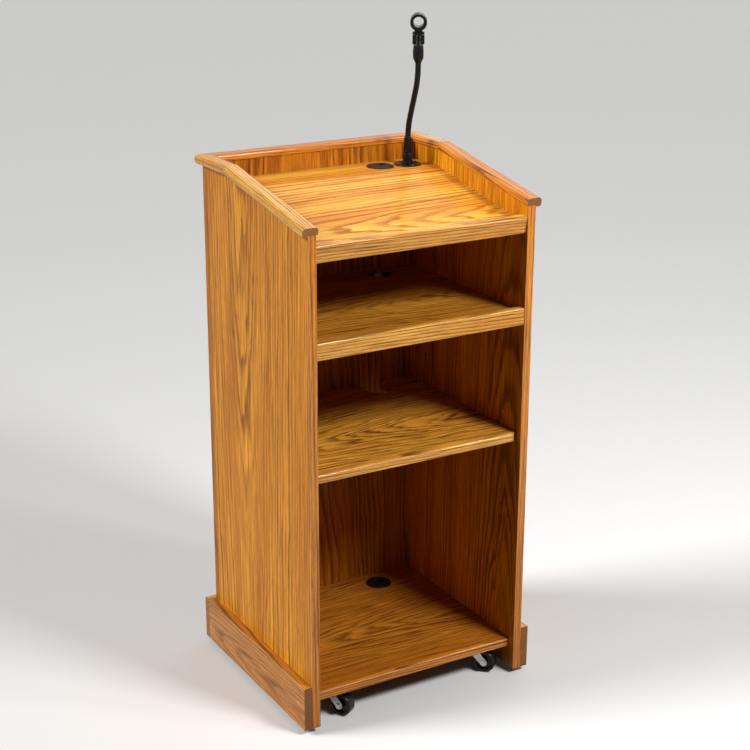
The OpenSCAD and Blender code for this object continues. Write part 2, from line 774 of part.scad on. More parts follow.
module caster_plate(k) {
    ball_z = crown_top + face_clear / 2;
    color(zinc) in_case() at_caster(k) difference() {
        union() {
            translate([-plate_w / 2, -plate_l / 2, caster_h - plate_t]) cube([plate_w, plate_l, plate_t]);
            translate([0, 0, crown_top + face_clear])
                cylinder(r1 = boss_r, r2 = boss_r + boss_flare, h = boss_h);
            translate([0, 0, crown_z - face_clear])
                cylinder(r = kingpin_r, h = caster_h - plate_t - crown_z + face_clear);
            translate([0, 0, crown_z - face_clear - rivet_t]) cylinder(r = kingpin_r + 2, h = rivet_t);
        }
        race(ball_z);
        for (x = [-1, 1], y = [-1, 1])
            translate([x * plate_hole_x / 2, y * plate_hole_y / 2, caster_h - plate_t - cut])
                cylinder(r = plate_screw_r + fit_clear, h = plate_t + 2 * cut);
    }
}

module fork_leg_outline() {
    end_r = axle_r + 4;
    polygon([[-leg_top_w / 2, crown_top], [leg_top_w / 2, crown_top],
             [fork_trail + end_r * cos(25), wheel_r + end_r * sin(25)],
             [fork_trail - end_r * cos(50), wheel_r - end_r * sin(50)]]);
    translate([fork_trail, wheel_r]) circle(r = end_r);
}

module caster_fork(k) {
    color(zinc) in_case() on_fork(k) difference() {
        union() {
            translate([0, 0, crown_z]) cylinder(r = crown_r, h = fork_t);
            for (y = [leg_in, -leg_out]) translate([0, y + fork_t, 0]) rotate([90, 0, 0])
                linear_extrude(fork_t) fork_leg_outline();
        }
        translate([0, 0, crown_z - cut]) cylinder(r = kingpin_r + run_clear, h = fork_t + 2 * cut);
        race(crown_top + face_clear / 2);
        translate([fork_trail, leg_out + cut, wheel_r]) rotate([90, 0, 0])
            cylinder(r = axle_r + fit_clear, h = 2 * leg_out + 2 * cut);
    }
}

module caster_axle(k) {
    nut_t = 3.6;
    color(zinc) in_case() on_axle(k) {
        translate([0, 0, -leg_out]) cylinder(r = axle_r, h = 2 * leg_out);
        for (side = [0, 1]) mirror([0, 0, side]) translate([0, 0, leg_out])
            cylinder(r = axle_r + 2.6, h = nut_t, $fn = 6);
    }
}

module caster_wheel(k) {
    tread = wheel_w / 2;
    hub = wheel_hub_w / 2;
    hub_r = axle_r + 3.6;
    rim_r = wheel_r - tread_t;
    web = 4.5;
    bore_r = axle_r + run_clear;
    color(black) in_case() on_axle(k) rotate_extrude() polygon(concat(
        [[bore_r, -hub], [hub_r, -hub], [hub_r + 0.6, -web], [rim_r - 0.6, -web], [rim_r, -tread]],
        arc([wheel_r - 3, 3 - tread], 3, -90, 0),
        arc([wheel_r - 3, tread - 3], 3, 0, 90),
        [[rim_r, tread], [rim_r - 0.6, web], [hub_r + 0.6, web], [hub_r, hub], [bore_r, hub]]));
}

module caster_screw_places() {
    for (k = [0:3], x = [-1, 1], y = [-1, 1]) at_caster(k)
        translate([x * plate_hole_x / 2, y * plate_hole_y / 2, caster_h]) children();
}

module caster_screws() {
    color(zinc) in_case() caster_screw_places() {
        translate([0, 0, -plate_t]) cylinder(r = plate_screw_r, h = plate_t + plate_screw_l - 1);
        translate([0, 0, -plate_t - plate_head_h])
            cylinder(r1 = plate_head_r - 1, r2 = plate_head_r, h = plate_head_h);
    }
}

module caster_bearing_balls() {
    color(zinc) in_case() for (k = [0:3], i = [0:ball_count - 1]) at_caster(k)
        rotate([0, 0, i * 360 / ball_count]) translate([race_r, 0, crown_top + face_clear / 2])
            sphere(r = ball_r);
}

module front_left_caster_plate() caster_plate(0);
module front_right_caster_plate() caster_plate(1);
module rear_left_caster_plate() caster_plate(2);
module rear_right_caster_plate() caster_plate(3);
module front_left_caster_fork() caster_fork(0);
module front_right_caster_fork() caster_fork(1);
module rear_left_caster_fork() caster_fork(2);
module rear_right_caster_fork() caster_fork(3);
module front_left_caster_axle() caster_axle(0);
module front_right_caster_axle() caster_axle(1);
module rear_left_caster_axle() caster_axle(2);
module rear_right_caster_axle() caster_axle(3);
module front_left_caster_wheel() caster_wheel(0);
module front_right_caster_wheel() caster_wheel(1);
module rear_left_caster_wheel() caster_wheel(2);
module rear_right_caster_wheel() caster_wheel(3);

left_side_panel();
right_side_panel();
left_front_edging();
right_front_edging();
back_panel();
reading_board();
desk_ledge();
book_stop();
upper_shelf();
upper_shelf_nosing();
middle_shelf();
middle_shelf_edging();
shelf_pins();
bottom_shelf();
bottom_shelf_edging();
rear_cap_rail();
left_level_rail();
left_sloped_rail();
right_level_rail();
right_sloped_rail();
left_base_moulding();
right_base_moulding();
rear_base_moulding();
desk_grommet_sleeve();
desk_grommet_cap();
floor_grommet_sleeve();
floor_grommet_cap();
neck_flange();
flange_screws();
neck_boot();
neck_root();
neck_link_1();
neck_link_2();
neck_link_3();
neck_link_4();
neck_link_5();
neck_link_6();
neck_end_collar();
clip_socket();
microphone_clip();
clip_pivot_screw();
front_left_caster_plate();
front_left_caster_fork();
front_left_caster_axle();
front_left_caster_wheel();
front_right_caster_plate();
front_right_caster_fork();
front_right_caster_axle();
front_right_caster_wheel();
rear_left_caster_plate();
rear_left_caster_fork();
rear_left_caster_axle();
rear_left_caster_wheel();
rear_right_caster_plate();
rear_right_caster_fork();
rear_right_caster_axle();
rear_right_caster_wheel();
caster_screws();
caster_bearing_balls();
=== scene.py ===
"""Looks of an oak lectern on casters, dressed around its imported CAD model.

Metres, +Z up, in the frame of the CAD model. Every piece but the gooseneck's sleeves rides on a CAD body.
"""

import json
import math
from typing import NamedTuple

import bmesh
import bpy
from bpy.props import FloatProperty, FloatVectorProperty, IntProperty, PointerProperty
from mathutils import Euler, Matrix, Vector

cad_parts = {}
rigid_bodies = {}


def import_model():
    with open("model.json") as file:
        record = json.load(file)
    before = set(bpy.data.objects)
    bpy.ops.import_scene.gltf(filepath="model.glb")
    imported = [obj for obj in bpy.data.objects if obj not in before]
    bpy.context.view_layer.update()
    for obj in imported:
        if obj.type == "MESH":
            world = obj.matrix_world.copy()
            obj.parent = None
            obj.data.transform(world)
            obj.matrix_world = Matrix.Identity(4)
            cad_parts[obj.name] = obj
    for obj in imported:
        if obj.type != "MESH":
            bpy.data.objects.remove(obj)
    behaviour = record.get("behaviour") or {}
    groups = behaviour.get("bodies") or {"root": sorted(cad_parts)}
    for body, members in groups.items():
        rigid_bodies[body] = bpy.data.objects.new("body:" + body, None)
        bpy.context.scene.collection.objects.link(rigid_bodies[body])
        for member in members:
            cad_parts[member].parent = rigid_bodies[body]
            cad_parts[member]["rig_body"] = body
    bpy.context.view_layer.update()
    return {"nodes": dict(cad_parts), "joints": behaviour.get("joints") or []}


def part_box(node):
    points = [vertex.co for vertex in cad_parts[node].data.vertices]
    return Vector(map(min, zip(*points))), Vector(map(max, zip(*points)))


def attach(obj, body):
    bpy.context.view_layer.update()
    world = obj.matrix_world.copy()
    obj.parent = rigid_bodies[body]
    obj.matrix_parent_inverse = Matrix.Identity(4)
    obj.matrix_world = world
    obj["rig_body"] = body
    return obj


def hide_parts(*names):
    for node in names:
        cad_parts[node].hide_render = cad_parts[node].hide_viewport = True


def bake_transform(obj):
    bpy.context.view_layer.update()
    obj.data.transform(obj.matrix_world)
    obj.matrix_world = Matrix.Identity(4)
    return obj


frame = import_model()

bl_info = {
    "name": "Oak Lectern",
    "version": (1, 0, 0),
    "blender": (4, 5, 0),
    "location": "View3D > Sidebar > Lectern",
    "description": "Dresses a lectern in lacquered oak, black enamel and zinc, with its stage and camera",
    "category": "Object",
}

MM = 0.001
UP = Vector((0, 0, 1))


class Log(NamedTuple):
    """The log that a board is cut from."""

    grain: str  # Axis of the fibres
    heart: tuple  # Place of the log's axis in the board's box, 0 and 1 being its ends
    ring: float  # Width of a year's growth
    taper: float  # How fast the rings spread along the grain
    drift: float  # How far the rings wander
    seed: int
    stain: tuple = (1, 1, 1)
    vigour: float = 0.65  # Strength of the faintest rings
    lean: float = 0  # Tilt of the fibres in degrees


RAIL_LEAN = 9.57

LOGS = {
    "left_side_panel": Log(
        grain="Z", heart=(4.6, 0.64, 0.15), ring=0.0115, taper=-0.065, drift=0.012, seed=1,
        vigour=0.22,
    ),
    "right_side_panel": Log(
        grain="Z", heart=(4.0, 0.10, 0.5), ring=0.0115, taper=0.09, drift=0.014, seed=2,
        stain=(1.06, 1.1, 0.65), vigour=0.3,
    ),
    "left_front_edging": Log(
        grain="Z", heart=(-3.0, -9.0, 0.0), ring=0.0065, taper=0.01, drift=0.004, seed=3,
        stain=(0.92, 0.70, 0.50), vigour=0.4,
    ),
    "right_front_edging": Log(
        grain="Z", heart=(4.0, -8.0, 0.0), ring=0.0065, taper=0.01, drift=0.004, seed=4,
        stain=(0.95, 0.72, 0.60), vigour=0.4,
    ),
    "back_panel": Log(
        grain="Z", heart=(0.42, 5.0, 0.5), ring=0.0125, taper=0.07, drift=0.018, seed=5,
        stain=(0.66, 0.56, 0.36), vigour=0.35,
    ),
    "reading_board": Log(
        grain="X", heart=(0.5, 0.24, -0.16), ring=0.0125, taper=-0.16, drift=0.014, seed=6,
        vigour=0.6,
    ),
    "desk_ledge": Log(
        grain="X", heart=(0.0, 1.9, -2.0), ring=0.012, taper=0.05, drift=0.012, seed=7, vigour=0.35
    ),
    "book_stop": Log(
        grain="X", heart=(0.0, 1.0, -3.0), ring=0.0062, taper=0.03, drift=0.0070, seed=8, vigour=0.8
    ),
    "upper_shelf": Log(
        grain="X", heart=(0.5, 0.40, -1.6), ring=0.0100, taper=-0.14, drift=0.024, seed=9,
        stain=(0.8, 0.72, 0.7), vigour=0.6,
    ),
    "upper_shelf_nosing": Log(
        grain="X", heart=(0.0, 1.0, -3.0), ring=0.0060, taper=0.025, drift=0.0065, seed=10,
        vigour=0.8,
    ),
    "middle_shelf": Log(
        grain="X", heart=(0.5, 0.30, -1.6), ring=0.0095, taper=-0.15, drift=0.026, seed=11,
        stain=(1.04, 0.96, 1.0), vigour=0.85,
    ),
    "middle_shelf_edging": Log(
        grain="X", heart=(0.0, 1.0, -4.5), ring=0.0060, taper=0.025, drift=0.005, seed=12,
        vigour=0.8,
    ),
    "bottom_shelf": Log(
        grain="X", heart=(0.5, 0.40, -2.4), ring=0.0095, taper=-0.09, drift=0.024, seed=13,
        stain=(0.75, 0.54, 0.42), vigour=0.55,
    ),
    "bottom_shelf_edging": Log(
        grain="X", heart=(0.0, 1.0, -4.5), ring=0.0060, taper=0.025, drift=0.005, seed=14,
        stain=(0.95, 0.78, 0.8), vigour=0.7,
    ),
    "rear_cap_rail": Log(
        grain="X", heart=(0.0, -0.9, -1.6), ring=0.0062, taper=0.02, drift=0.003, seed=15,
        stain=(0.80, 0.60, 0.45), vigour=0.4,
    ),
    "left_level_rail": Log(
        grain="Y", heart=(1.9, 0.0, -1.8), ring=0.0062, taper=0.02, drift=0.003, seed=16, vigour=0.4
    ),
    "left_sloped_rail": Log(
        grain="Y", heart=(1.7, 0.0, 0.4), ring=0.0062, taper=0.02, drift=0.003, seed=17,
        stain=(1.0, 1.06, 1.1), vigour=0.4, lean=RAIL_LEAN,
    ),
    "right_level_rail": Log(
        grain="Y", heart=(-0.9, 0.0, -1.8), ring=0.0062, taper=0.02, drift=0.003, seed=18,
        stain=(0.88, 0.72, 0.60), vigour=0.4,
    ),
    "right_sloped_rail": Log(
        grain="Y", heart=(-0.8, 0.0, 0.4), ring=0.0062, taper=0.02, drift=0.003, seed=19,
        stain=(0.88, 0.72, 0.60), vigour=0.4, lean=RAIL_LEAN,
    ),
    "left_base_moulding": Log(
        grain="Y", heart=(1.8, 0.0, 0.35), ring=0.0062, taper=0.05, drift=0.007, seed=20,
        stain=(0.74, 0.61, 0.52), vigour=0.65,
    ),
    "right_base_moulding": Log(
        grain="Y", heart=(-0.8, 0.0, 0.6), ring=0.0095, taper=0.08, drift=0.012, seed=21
    ),
    "rear_base_moulding": Log(
        grain="X", heart=(0.0, -0.9, 0.4), ring=0.0095, taper=0.07, drift=0.012, seed=22
    ),
}

# Euler turns in degrees that lay a board's X axis along its grain
GRAIN_TURNS = {"X": (0, 0, 0), "Y": (0, 0, 90), "Z": (0, -90, 0)}
GRAIN_AXES = {"X": (1, 0, 0), "Y": (0, 1, 0), "Z": (0, 0, 1)}

# Features a metre of each layer of the oak's pattern, along the grain and across it
WANDER = (2.4, 10, 10)
RIPPLE = (6, 50, 50)
SLIP = (9, 260, 260)
FIBRE = (9, 420, 420)
STREAK = (3, 110, 110)
VESSEL = (38, 780, 780)
PORE = (130, 1900, 1900)
BROAD = (1.6, 16, 16)

# Changes a metre across the rings, in their width and in their strength
UNEVEN_YEARS = 24.0
VIGOUR_CHANGES = 11.0

# Strengths of the oak's pattern, as shares of a log's drift or ring or of full darkness
WANDER_SHARE = 2
RIPPLE_SHARE = 0.9
RING_FEATHER = 0.32
YEAR_SHIFT = 1.8
STREAK_SHARE = 0.8
FAINTEST_YEAR = 0.6
VESSEL_DARKNESS = 0.26
FIBRE_DARKNESS = 0.62
PORE_DARKNESS = 0.7
END_GRAIN_SHARE = 0.8
BETWEEN_VESSELS = 0.72
LATE_PORES = 0.12

# Levels between which each part of the oak's pattern comes in
TAN_RANGE = (0.68, 1.12)
VIGOUR_RANGE = (0.36, 0.60)
EARLY_RANGE = (0.05, 0.6)
VESSEL_RANGE = (0.44, 0.60)
PORE_RANGE = (0.54, 0.70)
FIBRE_RANGE = (0.43, 0.72)
SAWN_RANGE = (0.75, 0.95)
HOLE_WALL_RANGE = (0.3, 0.6)

# Darkness of the wood through one year's growth, as (share of the year, darkness)
SEASON = [(0, 0.7), (0.08, 1), (0.26, 0.8), (0.46, 0.3), (0.75, 0.04), (0.93, 0.0), (1, 0.7)]

# How far one seed moves the pattern and the changes along a line, and what is added to a board's
# reach from the log's axis
SEED_STEP = (3.7, 1.9, 2.3)
LINE_SEED_STEP = 7.3
REACH_MARGIN = 20 * MM

# Lacquer: coat of the veneered and of the solid oak, its gloss, and the relief of the pores under it
VENEER_COAT = 0.12
SOLID_COAT = 0.5
COAT_ROUGHNESS = 0.12
OAK_SHINE = 0.12
PORE_RELIEF = 0.25 * MM

# Heights and dullness that fibres, early wood and broad changes give the lacquer, and how far plain
# wood is glossier than the lacquer's roughness says
FIBRE_HEIGHT = 0.25
EARLY_DEPTH = 0.3
EARLY_DULLNESS = 0.12
BROAD_DULLNESS = 0.06
PLAIN_GLOSS = 0.03

# Handling marks on black parts and rubbed patches on plated ones: features a metre and shade
MARKS = (90, 90, 90)
MARK_SHADE = 2.2
PATCHES = (140, 140, 140)
PATCH_SHADE = 0.72
SPANGLE_SHARE = 0.25

# Sockets of a Mix node that mixes colours
MIX_FACTOR, MIX_FIRST, MIX_SECOND, MIX_RESULT = 0, 6, 7, 2

# Softening of a CAD node, lengths in metres and angles in degrees
MERGE_GAP = 0.01 * MM
FLAT_ANGLE = 0.8
SMOOTH_ANGLE = 38
NECK_STEEPEST = 18

# Edges shorter than these stay sharp, such as those of pin holes and cable holes
PANEL_SHORTEST = 30 * MM
SHELF_SHORTEST = 8 * MM

# Radii of the fittings' edges
GROMMET_EDGE = 0.25 * MM
FLANGE_EDGE = 0.3 * MM
COLLAR_EDGE = 0.4 * MM
BOOT_EDGE = 0.5 * MM
CLIP_EDGE = 0.6 * MM
CASTER_EDGE = 0.4 * MM

NECK_JOINTS = [
    "neck_forward",
    "neck_sideways",
    "neck_forward_middle",
    "neck_sideways_middle",
    "neck_forward_top",
    "neck_sideways_top",
]

# How far the neck's sleeves stand out over its links, and the bend in radians that is still straight
SLEEVE_THICKNESS = 0.03 * MM
STRAIGHT_ANGLE = 0.001

# A direction along which no two points of a sleeve are level
SORTING_WAY = Vector((0.37, 1.93, 7.11))

CORNERS = ["front_left", "front_right", "rear_left", "rear_right"]

FILM_WIDTH = 36.0
FLOOR_SIDES = 96

# Softboxes: the place, aim and side of each
FRONT_SOFTBOX = ((0.90, -2.20, 2.60), (0.0, -0.2, 0.85), 0.7)
EDGE_SOFTBOX = ((2.00, -2.30, 2.70), (0.0, -0.2, 0.9), 0.35)

# Far lamps: the direction each shines from, and the width of its disc in degrees
LAMPS = {
    "side": ((-0.76, 0.30, 0.58), 25),
    "top": ((0.05, 0.05, 1.0), 60),
    "rear": ((0.85, 0.50, 0.45), 60),
}


def colour(label, words, value):
    """A colour property with a description and a default."""
    return FloatVectorProperty(
        name=label, description=words, subtype="COLOR", size=3, min=0, max=1, default=value
    )


class LecternOak(bpy.types.PropertyGroup):
    """Colours and lacquer of the oak boards."""

    panel_pale: colour("Panel Pale", "Palest wood of the veneered panels", (0.99, 0.41, 0.026))
    panel_tan: colour("Panel Tan", "Darkest plain wood of the veneered panels", (0.67, 0.225, 0.010))
    panel_ring: colour("Panel Ring", "Early wood of the veneered panels", (0.20, 0.050, 0.003))
    desk_pale: colour("Desk Pale", "Palest wood of the desk boards", (1.0, 0.57, 0.072))
    desk_tan: colour("Desk Tan", "Darkest plain wood of the desk boards", (0.76, 0.29, 0.015))
    desk_ring: colour("Desk Ring", "Early wood of the desk boards", (0.38, 0.085, 0.002))
    shelf_pale: colour("Shelf Pale", "Palest wood of the shelves", (0.92, 0.48, 0.06))
    shelf_tan: colour("Shelf Tan", "Darkest plain wood of the shelves", (0.74, 0.33, 0.03))
    shelf_ring: colour("Shelf Ring", "Early wood of the shelves", (0.11, 0.030, 0.002))
    solid_pale: colour("Solid Pale", "Palest wood of the solid strips and rails", (1.0, 0.51, 0.080))
    solid_tan: colour("Solid Tan", "Darkest plain wood of the solid strips", (0.86, 0.355, 0.040))
    solid_ring: colour("Solid Ring", "Early wood of the solid strips and rails", (0.15, 0.036, 0.003))
    pore: colour("Pore", "Open pores and the stain in them", (0.16, 0.045, 0.005))
    end_grain: colour("End Grain", "Sawn ends of the boards", (0.20, 0.062, 0.008))
    # Painted shade: a near-black colour on the upper shelf's upright faces, its cable hole's wall among
    # them, for the shade inside the hole
    hole_shade: colour("Cut Edge", "Sealed edge of the upper shelf's cable hole", (0.03, 0.009, 0.002))
    roughness: FloatProperty(
        name="Roughness", description="Roughness of the satin lacquer", min=0, max=1, default=0.40
    )
    edge: FloatProperty(
        name="Edge", description="Sanded radius of the boards' edges", unit="LENGTH", default=0.5 * MM
    )


class LecternHardware(bpy.types.PropertyGroup):
    """Colours and sizes of the microphone holder, grommets and casters."""

    enamel: colour("Enamel", "Black of the microphone holder", (0.004, 0.004, 0.0045))
    plastic: colour("Plastic", "Black plastic of the cable grommets", (0.006, 0.006, 0.0065))
    wheel: colour("Wheel", "Black plastic of the caster wheels", (0.006, 0.006, 0.0065))
    zinc: colour("Zinc", "Plated steel of the casters and shelf pins", (0.62, 0.62, 0.60))
    bright: colour("Bright Screw", "Nickel-plated screws, axles and balls", (0.70, 0.68, 0.63))
    neck_steps: IntProperty(
        name="Neck Steps", description="Rings of the gooseneck in each bend", min=4, max=40, default=16
    )
    neck_sides: IntProperty(
        name="Neck Sides", description="Vertices round the gooseneck", min=16, max=96, default=40
    )


class LecternStage(bpy.types.PropertyGroup):
    """Floor, light and camera."""

    floor: colour("Floor", "Plain pale floor as the camera sees it", (0.76, 0.755, 0.745))
    floor_bounce: colour("Floor Bounce", "Floor as the pieces round it see it", (0.12, 0.12, 0.12))
    floor_reach: FloatProperty(
        name="Floor Reach", description="Radius of the floor", unit="LENGTH", default=90.0
    )
    front: FloatProperty(name="Front Light", description="Power of the front softbox", default=80.0)
    edge_light: FloatProperty(
        name="Edge Light", description="Power of the small right softbox", default=24.0
    )
    side: FloatProperty(name="Side Light", description="Strength of the left lamp", default=3.15)
    top: FloatProperty(name="Top Light", description="Strength of the overhead lamp", default=0.2)
    rear: FloatProperty(name="Rear Light", description="Strength of the rear lamp", default=0.6)
    room: FloatProperty(name="Room Light", description="Strength of the light all round", default=0.02)
    backdrop: FloatProperty(name="Backdrop", description="Brightness of the seen backdrop", default=0.62)
    lens: FloatProperty(name="Lens", description="Focal length on a 36 mm sensor", default=78.30)
    camera_place: FloatVectorProperty(
        name="Camera",
        description="Place of the camera",
        unit="LENGTH",
        default=(-1.67286, -2.913217, 1.84280),
    )
    yaw: FloatProperty(name="Yaw", description="Turn to the right in degrees", default=30.2617)
    pitch: FloatProperty(name="Pitch", description="Tilt of the camera in degrees", default=-19.0275)
    roll: FloatProperty(name="Roll", description="Turn about the sight line in degrees", default=0.1778)


class Finish:
    """A material, with short ways to add nodes to its tree."""

    def __init__(self, name):
        self.material = bpy.data.materials.new(name)
        self.material.use_nodes = True
        self.tree = self.material.node_tree
        self.tree.nodes.clear()
        self.coords = self.node("TexCoord").outputs

    def feed(self, socket, value):
        """Sets a socket to a value, or links another node's output to it."""
        if isinstance(value, bpy.types.NodeSocket):
            self.tree.links.new(value, socket)
        else:
            socket.default_value = value

    def node(self, kind, inputs=None, **settings):
        """Adds a node. inputs maps a socket's name or number to what it is fed."""
        node = self.tree.nodes.new("ShaderNode" + kind)
        for key, value in settings.items():
            setattr(node, key, value)
        for key, value in (inputs or {}).items():
            self.feed(node.inputs[key], value)
        return node

    def math(self, operation, *values, clamp=False):
        """The result of a Math node."""
        return self.node("Math", dict(enumerate(values)), operation=operation, use_clamp=clamp).outputs[0]

    def vector(self, operation, *values):
        """The vector that a Vector Math node gives."""
        return self.node("VectorMath", dict(enumerate(values)), operation=operation).outputs[0]

    def noise(self, vector, stretch, detail=2.0, roughness=0.5):
        """Noise with stretch features a metre on each axis."""
        place = self.vector("MULTIPLY", vector, stretch)
        inputs = {"Vector": place, "Scale": 1.0, "Detail": detail, "Roughness": roughness}
        return self.node("TexNoise", inputs).outputs

    def line_noise(self, value, frequency, seed=0):
        """Noise along a line, frequency features a metre."""
        place = self.math("MULTIPLY_ADD", value, frequency, LINE_SEED_STEP * seed)
        return self.node("TexNoise", {"W": place, "Scale": 1.0}, noise_dimensions="1D").outputs[0]

    def span(self, value, low, high, to_low=0.0, to_high=1.0):
        """value from low to high, brought to the range to_low to to_high."""
        inputs = {0: value, 1: low, 2: high, 3: to_low, 4: to_high}
        return self.node("MapRange", inputs, clamp=True).outputs[0]

    def mix(self, factor, first, second):
        """Mixes two colours."""
        node = self.node("Mix", {MIX_FACTOR: factor}, data_type="RGBA")
        for key, value in ((MIX_FIRST, first), (MIX_SECOND, second)):
            self.feed(node.inputs[key], (*value, 1) if isinstance(value, tuple) else value)
        return node.outputs[MIX_RESULT]

    def ramp(self, value, stops):
        """A grey level that follows (place, level) stops."""
        node = self.node("ValToRGB", {0: value})
        elements = node.color_ramp.elements
        while len(elements) < len(stops):
            elements.new(0.5)
        for element, (place, level) in zip(elements, stops):
            element.position = place
            element.color = (level, level, level, 1)
        return node.outputs[0]

    def facing(self, axis):
        """How squarely the surface faces along the axis, from 0 to 1."""
        inputs = {0: self.coords["Normal"], 1: axis}
        product = self.node("VectorMath", inputs, operation="DOT_PRODUCT").outputs["Value"]
        return self.math("ABSOLUTE", product)

    def surface(self, height=None, relief=0.0, strength=0.5, **inputs):
        """Ends the tree in a Principled shader. height is a bump of relief metres."""
        shader = self.node("BsdfPrincipled")
        for key, value in inputs.items():
            self.feed(shader.inputs[key.replace("_", " ")], value)
        if height is not None:
            bump = self.node("Bump", {"Height": height, "Distance": relief, "Strength": strength})
            self.feed(shader.inputs["Normal"], bump.outputs[0])
        self.node("OutputMaterial", {0: shader.outputs[0]})
        return self.material


def log_space(finish, node, log):
    """A board's place in its log, with X along the grain, and its farthest reach from the axis."""
    low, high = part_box(node)
    heart = [a + (b - a) * share for a, b, share in zip(low, high, log.heart)]
    reach = REACH_MARGIN + max(max(a - h, h - b) for a, b, h in zip(low, high, heart))
    turn = Euler([math.radians(angle) for angle in GRAIN_TURNS[log.grain]])
    turn.y -= math.radians(log.lean)
    inputs = {"Vector": finish.coords["Object"], "Location": heart, "Rotation": turn}
    return finish.node("Mapping", inputs, vector_type="TEXTURE").outputs[0], reach


def growth_rings(finish, board, spot, log, reach):
    """Darkness of the early wood, in rings that feather where fibres slip past each other."""
    across = finish.vector("MULTIPLY", board, (0, 1, 1))
    for stretch, share in ((WANDER, WANDER_SHARE), (RIPPLE, RIPPLE_SHARE)):
        shift = finish.vector("SUBTRACT", finish.noise(spot, stretch)["Color"], (0.5, 0.5, 0.5))
        shift = finish.vector("MULTIPLY", shift, (0, share * log.drift, share * log.drift))
        across = finish.vector("ADD", across, shift)
    radius = finish.node("VectorMath", {0: across}, operation="LENGTH").outputs["Value"]
    along = finish.node("SeparateXYZ", {0: board}).outputs[0]
    spread = finish.math("MULTIPLY", along, finish.math("DIVIDE", log.taper * reach, radius))
    depth = finish.math("ADD", radius, spread)
    slip = finish.math("SUBTRACT", finish.noise(spot, SLIP, detail=3, roughness=0.6)[0], 0.5)
    depth = finish.math("MULTIPLY_ADD", slip, RING_FEATHER * log.ring, depth)

    years = finish.math("DIVIDE", depth, log.ring)
    uneven = finish.math("MULTIPLY", finish.line_noise(depth, UNEVEN_YEARS), YEAR_SHIFT)
    years = finish.math("ADD", years, uneven)
    early = finish.ramp(finish.math("FRACT", years), SEASON)
    year = finish.math("FLOOR", years)
    chance = finish.node("TexWhiteNoise", {"W": year}, noise_dimensions="1D").outputs["Value"]
    early = finish.math("MULTIPLY", early, finish.span(chance, 0, 1, FAINTEST_YEAR, 1.0))
    changes = finish.line_noise(depth, VIGOUR_CHANGES, log.seed)
    return finish.math("MULTIPLY", early, finish.span(changes, *VIGOUR_RANGE, log.vigour, 1.0))


def oak(node, tone):
    """Lacquered plain-sawn oak of one board, with growth rings, fibres, vessels and pores."""
    settings = bpy.context.scene.lectern_oak
    log = LOGS[node]
    pale, tan, dark = (
        tuple(part * tint for part, tint in zip(getattr(settings, f"{tone}_{shade}"), log.stain))
        for shade in ("pale", "tan", "ring")
    )
    finish = Finish(f"oak_{node}")
    board, reach = log_space(finish, node, log)
    spot = finish.vector("ADD", board, tuple(step * log.seed for step in SEED_STEP))
    early = growth_rings(finish, board, spot, log, reach)
    fibre = finish.noise(spot, FIBRE, detail=3, roughness=0.6)[0]
    streak = finish.noise(spot, STREAK)[0]
    broad = finish.noise(spot, BROAD)[0]
    vessels = finish.span(finish.noise(spot, VESSEL)[0], *VESSEL_RANGE)
    pores = finish.span(finish.noise(spot, PORE, detail=1)[0], *PORE_RANGE)
    pores = finish.math("MULTIPLY", pores, finish.span(early, *EARLY_RANGE, LATE_PORES, 1.0))

    # Colour, from the plain wood to the lines, pores and sawn ends on it
    tone_share = finish.math("ADD", broad, finish.math("MULTIPLY", streak, STREAK_SHARE))
    wood = finish.mix(finish.span(tone_share, *TAN_RANGE), pale, tan)
    line = finish.math("MULTIPLY", early, finish.span(vessels, 0, 1, BETWEEN_VESSELS, 1.0))
    line = finish.math("MAXIMUM", line, finish.math("MULTIPLY", vessels, VESSEL_DARKNESS))
    hair = finish.span(fibre, *FIBRE_RANGE, 0.0, FIBRE_DARKNESS)
    line = finish.math("ADD", line, hair, clamp=True)
    wood = finish.mix(line, wood, dark)
    wood = finish.mix(finish.math("MULTIPLY", pores, PORE_DARKNESS), wood, tuple(settings.pore))
    sawn = finish.span(finish.facing(GRAIN_AXES[log.grain]), *SAWN_RANGE)
    wood = finish.mix(finish.math("MULTIPLY", sawn, END_GRAIN_SHARE), wood, tuple(settings.end_grain))
    # Painted shade: the upper shelf's faces that don't face up or down go near-black, for the shade
    # inside its cable hole
    if node == "upper_shelf":
        hole_shade_mask = finish.span(finish.facing(UP), *HOLE_WALL_RANGE, 1.0, 0.0)
        wood = finish.mix(hole_shade_mask, wood, tuple(settings.hole_shade))

    # Relief and gloss, with the pores and early wood sunk and duller
    height = finish.math("SUBTRACT", finish.math("MULTIPLY", fibre, FIBRE_HEIGHT), pores)
    height = finish.math("SUBTRACT", height, finish.math("MULTIPLY", early, EARLY_DEPTH))
    rough = finish.math("MULTIPLY", early, EARLY_DULLNESS)
    rough = finish.math("ADD", settings.roughness - PLAIN_GLOSS, rough)
    rough = finish.math("ADD", rough, finish.math("MULTIPLY", broad, BROAD_DULLNESS))
    return finish.surface(
        height,
        relief=PORE_RELIEF,
        Base_Color=wood,
        Roughness=rough,
        Specular_IOR_Level=OAK_SHINE,
        Coat_Weight=SOLID_COAT if tone == "solid" else VENEER_COAT,
        Coat_Roughness=COAT_ROUGHNESS,
    )


def black_finish(name, base, roughness, grain, relief, shine):
    """Black enamel or plastic, with grain features a metre in its skin and slight handling marks."""
    finish = Finish(name)
    spot = finish.coords["Object"]
    dust = finish.noise(spot, MARKS, detail=4, roughness=0.6)[0]
    marked = tuple(MARK_SHADE * part for part in base)
    return finish.surface(
        finish.noise(spot, (grain, grain, grain))[0],
        relief=relief,
        strength=0.35,
        Base_Color=finish.mix(finish.span(dust, 0.4, 0.8), tuple(base), marked),
        Roughness=finish.span(dust, 0.3, 0.8, roughness - 0.05, roughness + 0.12),
        Specular_IOR_Level=shine,
    )


